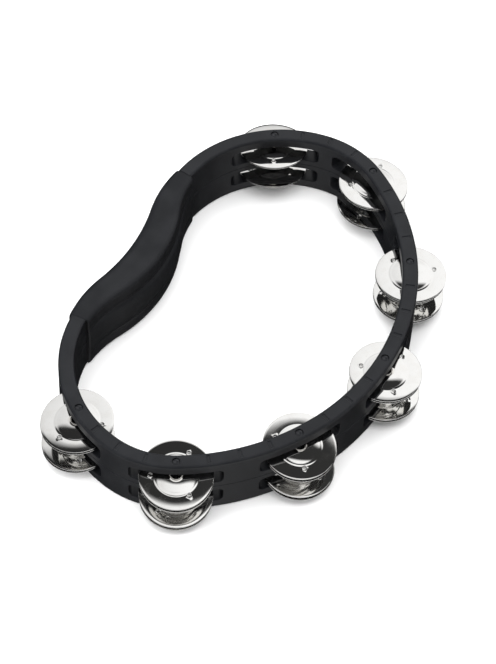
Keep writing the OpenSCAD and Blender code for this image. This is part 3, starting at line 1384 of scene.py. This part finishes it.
@dataclass
class Studio:
    """A pale floor, soft light all round and the camera."""

    azimuth: float = math.radians(26.31)
    elevation: float = math.radians(53.87)
    roll: float = math.radians(2.84)
    distance: float = 1.768
    aim: tuple[float, float, float] = (-0.0174, 0.0061, 0.0)
    lens: float = 135.54
    floor_size: float = 8.0
    sky_power: float = 1.1
    side_fade: tuple[float, float] = (-0.6, 0.3)
    side_dim: float = 0.72
    lamp_distance: float = 1.6
    sensor: float = 36.0
    # Places and brightness round the sky: 0 is the front horizon, then comes what lies below,
    # 0.5 is the back horizon, 0.75 is overhead and 1 is the front horizon again.
    sky: tuple[tuple[float, float], ...] = (
        (0.0, 1.0), (0.12, 0.9), (0.2, 0.1), (0.3, 0.02), (0.54, 0.02),
        (0.56, 0.8), (0.61, 1.0), (0.676, 1.0), (0.692, 0.03), (0.748, 0.03),
        (0.758, 1.0), (0.795, 1.0), (0.815, 0.2), (0.9, 0.14), (1.0, 0.4),
    )

    def _back(self, azimuth: float, elevation: float) -> Vector:
        """The direction from the object to a viewer at that azimuth and elevation."""
        flat = math.cos(elevation)
        return Vector((math.sin(azimuth) * flat, -math.cos(azimuth) * flat, math.sin(elevation)))

    def add_floor(self) -> None:
        """Adds the floor."""
        half = self.floor_size / 2
        mesh = bpy.data.meshes.new("floor")
        corners = [(-half, -half, 0), (half, -half, 0), (half, half, 0), (-half, half, 0)]
        mesh.from_pydata(corners, [], [(0, 1, 2, 3)])
        floor = bpy.data.objects.new("floor", mesh)
        bpy.context.scene.collection.objects.link(floor)
        floor.visible_glossy = False
        mesh.materials.append(StudioPaper("studio_paper").material())

    def add_camera(self) -> None:
        """Adds the camera."""
        data = bpy.data.cameras.new("camera")
        data.lens, data.sensor_width = self.lens, self.sensor
        camera = bpy.data.objects.new("camera", data)
        bpy.context.scene.collection.objects.link(camera)
        back = self._back(self.azimuth, self.elevation)
        right = Vector((math.cos(self.azimuth), math.sin(self.azimuth), 0.0))
        up = back.cross(right)
        c, s = math.cos(self.roll), math.sin(self.roll)
        axes = (right * c + up * s, up * c - right * s, back)
        camera.matrix_world = Matrix.Translation(Vector(self.aim) + back * self.distance) @ Matrix(
            [[axis[i] for axis in axes] for i in range(3)]
        ).to_4x4()
        bpy.context.scene.camera = camera

    def add_lamp(
        self, name: str, azimuth: float, elevation: float, size: float, power: float
    ) -> None:
        """Adds a square soft light that faces the object and doesn't show in reflections.

        Args:
            name: Its name.
            azimuth: Where it stands, in degrees.
            elevation: How high it stands, in degrees.
            size: Its side, in metres.
            power: Its power, in watts.
        """
        data = bpy.data.lights.new(name, "AREA")
        data.size, data.energy = size, power
        lamp = bpy.data.objects.new(name, data)
        lamp.visible_glossy = False
        bpy.context.scene.collection.objects.link(lamp)
        back = self._back(math.radians(azimuth), math.radians(elevation))
        lamp.location = Vector(self.aim) + back * self.lamp_distance
        lamp.rotation_mode = "QUATERNION"
        lamp.rotation_quaternion = back.to_track_quat("Z", "Y")

    def add_sky(self) -> None:
        """Surrounds the object with a bright sheet behind, a dark gap and a sheet overhead."""
        world = bpy.data.worlds.new("studio_sheets")
        world.use_nodes = True
        world.node_tree.nodes.clear()
        sheet = Sheet(world.node_tree)
        toward = sheet.add("ShaderNodeTexCoord", output="Generated")
        behind = self._back(self.azimuth + math.pi, 0.0)
        depth = sheet.along(toward, behind)
        height = sheet.add("ShaderNodeSeparateXYZ", inputs={0: toward}, output="Z")
        angle = sheet.add("ShaderNodeMath", {"operation": "ARCTAN2"}, {0: height, 1: depth})
        bright = sheet.add(
            "ShaderNodeValToRGB", {"stops": self.sky}, {"Fac": angle / (2 * math.pi) + 0.5}
        )
        right = (math.cos(self.azimuth), math.sin(self.azimuth), 0.0)
        side = sheet.window(sheet.along(toward, right), *self.side_fade)
        power = sheet.between(side, self.side_dim, 1.0) * self.sky_power
        light = sheet.add("ShaderNodeBackground", inputs={"Color": bright, "Strength": power})
        sheet.node("ShaderNodeOutputWorld", inputs={"Surface": light})
        bpy.context.scene.world = world

    def build(self) -> None:
        """Sets up the whole studio."""
        self.add_floor()
        self.add_camera()
        self.add_sky()
        self.add_lamp("key", -42, 16, 1.2, 30)
        self.add_lamp("overhead", 0, 90, 2.4, 60)
        bpy.context.scene.view_settings.view_transform = "Standard"


# ---------------------------------------------------------------- all together


def corners(box: Iterable[Vector]) -> list[list[float]]:
    """A box's two corners as plain numbers."""
    return [[float(x) for x in corner] for corner in box]


def main() -> None:
    """Builds the studio and every piece."""
    logging.basicConfig(level=logging.INFO, format="%(name)s: %(message)s")
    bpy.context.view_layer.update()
    Studio().build()
    plastic = MouldedPlastic("black_moulded_plastic")
    for row in Row:
        FrameHalf(row, plastic).build()
    HandGrip(GripRubber("soft_black_rubber")).build()
    steel = PinSteel("oxidised_pin_steel")
    disc = JingleDisc(NickelPlate("bright_nickel"))
    for position in POSITIONS:
        JinglePin(position, steel).build()
        for row in Row:
            for place in Place:
                disc.build(position, row, place)


if __name__ == "__main__":
    main()
